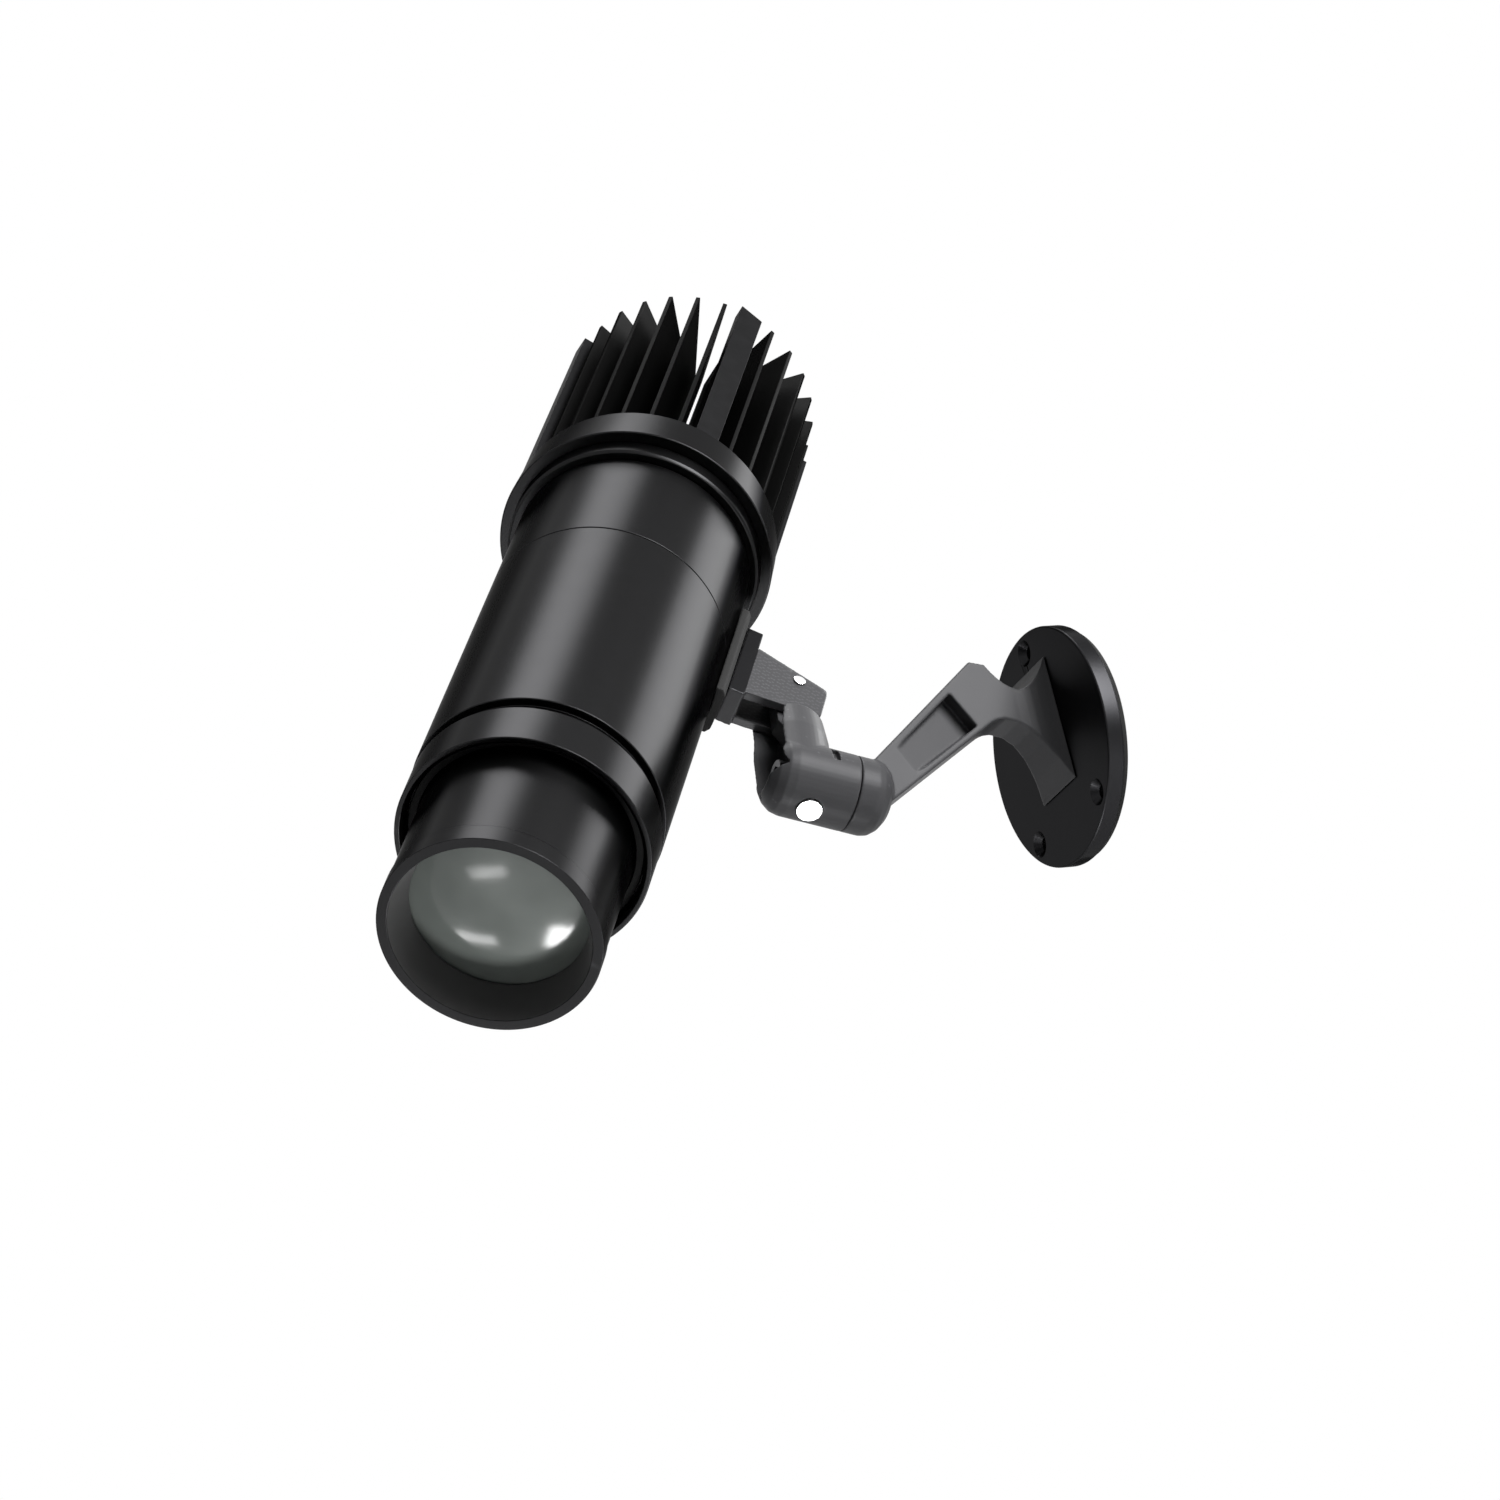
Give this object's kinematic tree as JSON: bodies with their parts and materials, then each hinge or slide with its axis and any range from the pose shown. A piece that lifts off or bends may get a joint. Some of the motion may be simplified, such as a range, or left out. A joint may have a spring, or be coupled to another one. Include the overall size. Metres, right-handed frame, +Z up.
{
  "type": "gobo projector",
  "caption": "Wall-mounted gobo projector: slim tubular lamp with finned heat sink and sliding lens barrel on a swivelling, tilting cast arm.",
  "frame": {"origin": "centre of the wall plate's back face, where it meets the wall", "axes": "+Y into the wall, +Z up, the arm in the plane X = 0, the room towards -Y"},
  "size_m": [0.2143, 0.2641, 0.2968],
  "materials": {
    "anodised": "satin black anodised",
    "plate": "satin black paint",
    "casting": "satin black paint on a casting",
    "rubber": "matt",
    "steel": "bright",
    "glass": "polished",
    "inner_black": "matt black anodised",
    "board": "white-coated board",
    "phosphor": "matt",
    "nylon": "matt"
  },
  "bodies": {
    "wall_base": {"wall_gasket": "rubber", "wall_plate": "plate", "arm_casting": "casting", "foot_screw_1": "steel", "foot_screw_2": "steel", "swivel_bolt": "steel", "swivel_spring_washer": "steel", "swivel_stop_pin": "steel"},
    "elbow": {"elbow_casting": "casting", "swivel_lock_screw": "steel"},
    "lamp": {"tilt_washer_near": "nylon", "tilt_washer_far": "nylon", "lamp_bracket": "casting", "bracket_saddle": "rubber", "bracket_screw_1": "steel", "bracket_screw_2": "steel", "tilt_pin": "steel", "tilt_nut": "steel", "front_tube": "anodised", "rear_tube": "anodised", "guide_sleeve": "inner_black", "clamp_wedge": "inner_black", "gobo_carrier": "inner_black", "gobo_disc": "glass", "gobo_retaining_ring": "steel", "condenser_holder": "inner_black", "condenser_lens_front": "glass", "condenser_spacer": "inner_black", "condenser_lens_rear": "glass", "condenser_retainer": "inner_black", "led_board": "board", "led_emitter": "phosphor", "led_frame": "nylon", "board_screw_1": "steel", "board_screw_2": "steel", "board_screw_3": "steel", "board_screw_4": "steel", "collar_ring": "anodised", "heat_sink": "anodised"},
    "focus_barrel": {"lens_barrel": "anodised", "front_lens": "glass", "front_lens_retainer": "inner_black", "objective_spacer": "inner_black", "rear_objective_lens": "glass", "rear_lens_retainer": "inner_black"},
    "focus_lock": {"lock_ring": "anodised"}
  },
  "joints": [
    {"name": "swivel", "type": "hinge", "parent": "wall_base", "child": "elbow", "pos_m": [0, -0.08455, -0.01097], "axis": [0, 0.9455, -0.3256], "range_deg": [-139, 192]},
    {"name": "tilt", "type": "hinge", "parent": "elbow", "child": "lamp", "pos_m": [-0.01996, -0.08592, 0.03204], "axis": [-0.8957, -0.1448, -0.4204], "range_deg": [-24, 65]},
    {"name": "focus_slide", "type": "slide", "parent": "lamp", "child": "focus_barrel", "axis": [0.4297, -0.5249, -0.7347], "range_m": [-0.03, 0.012]},
    {"name": "focus_lock_turn", "type": "hinge", "parent": "lamp", "child": "focus_lock", "pos_m": [0.02165, -0.20017, -0.0173], "axis": [0.4297, -0.5249, -0.7347], "range_deg": [0, 40]}
  ]
}
